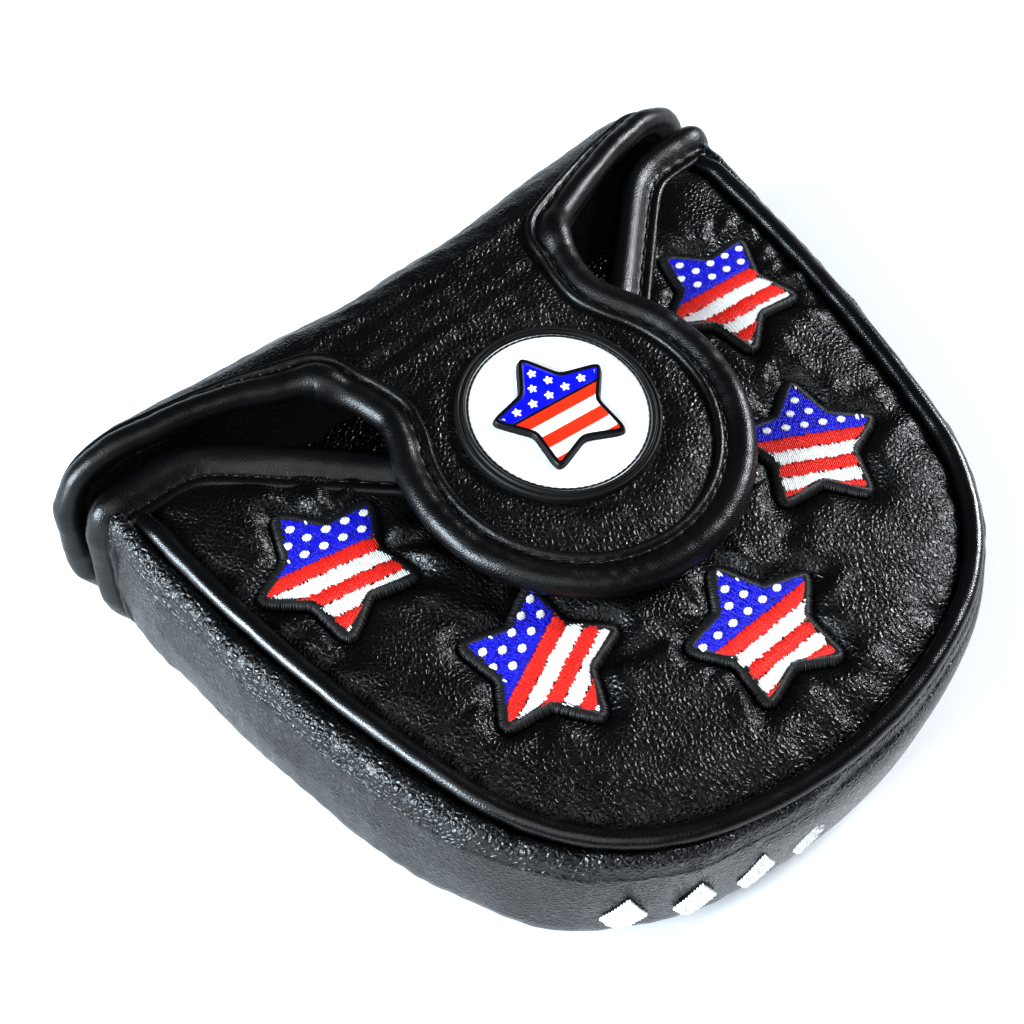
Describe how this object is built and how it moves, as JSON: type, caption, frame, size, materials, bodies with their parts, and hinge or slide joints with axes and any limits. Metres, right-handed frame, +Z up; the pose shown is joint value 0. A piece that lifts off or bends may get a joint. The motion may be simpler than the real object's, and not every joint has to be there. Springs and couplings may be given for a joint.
{
  "type": "putter head cover",
  "caption": "D-shaped padded leather cover for a mallet putter head, with a wrap-over flap closed by a magnetic tongue, embroidered stars and a round rubber badge.",
  "frame": {"origin": "centre of the bounding box seen from above, on the surface the cover rests on", "axes": "+X from heel to toe, +Y towards the mouth and flap, +Z up"},
  "size_m": [0.1252, 0.1149, 0.0409],
  "materials": {
    "leather": "satin",
    "binding": "satin",
    "foam": "matte",
    "plush": "matte",
    "thread_black": "satin",
    "embroidery": "satin",
    "thread_white": "satin",
    "rubber": "satin",
    "rubber_white": "satin",
    "rubber_blue": "satin",
    "steel": "satin",
    "patch": "matte",
    "cord": "matte"
  },
  "bodies": {
    "tongue": {"badge_face": "rubber_white", "badge_ring": "rubber", "badge_star": "rubber_blue", "tongue_binding": "binding", "tongue_foam": "foam", "tongue_lining": "plush", "tongue_magnet": "steel", "tongue_panel": "leather", "tongue_patch": "patch", "tongue_stitching": "thread_black"},
    "pouch": {"band_embroidery": "thread_white", "bottom_foam": "foam", "bottom_lining": "plush", "bottom_panel": "leather", "emblem_1": "embroidery", "emblem_2": "embroidery", "emblem_3": "embroidery", "emblem_4": "embroidery", "emblem_5": "embroidery", "mouth_binding": "binding", "mouth_stitching": "thread_black", "panel_magnet": "steel", "panel_patch": "patch", "side_band": "leather", "side_band_foam": "foam", "side_band_lining": "plush", "top_foam": "foam", "top_lining": "plush", "top_panel": "leather", "top_piping": "binding", "top_piping_cord": "cord"},
    "flap": {"flap_binding_left": "binding", "flap_binding_right": "binding", "flap_foam": "foam", "flap_lining": "plush", "flap_panel": "leather", "flap_stitching": "thread_black"}
  },
  "joints": [
    {"name": "flap_drop", "type": "hinge", "parent": "pouch", "child": "flap", "pos_m": [0, 0.05725, 0.0008], "axis": [-1, 0, 0], "range_deg": [0, 90]},
    {"name": "tongue_lift", "type": "hinge", "parent": "flap", "child": "tongue", "pos_m": [0, 0.04325, 0.0402], "axis": [-1, 0, 0], "range_deg": [0, 100]}
  ]
}
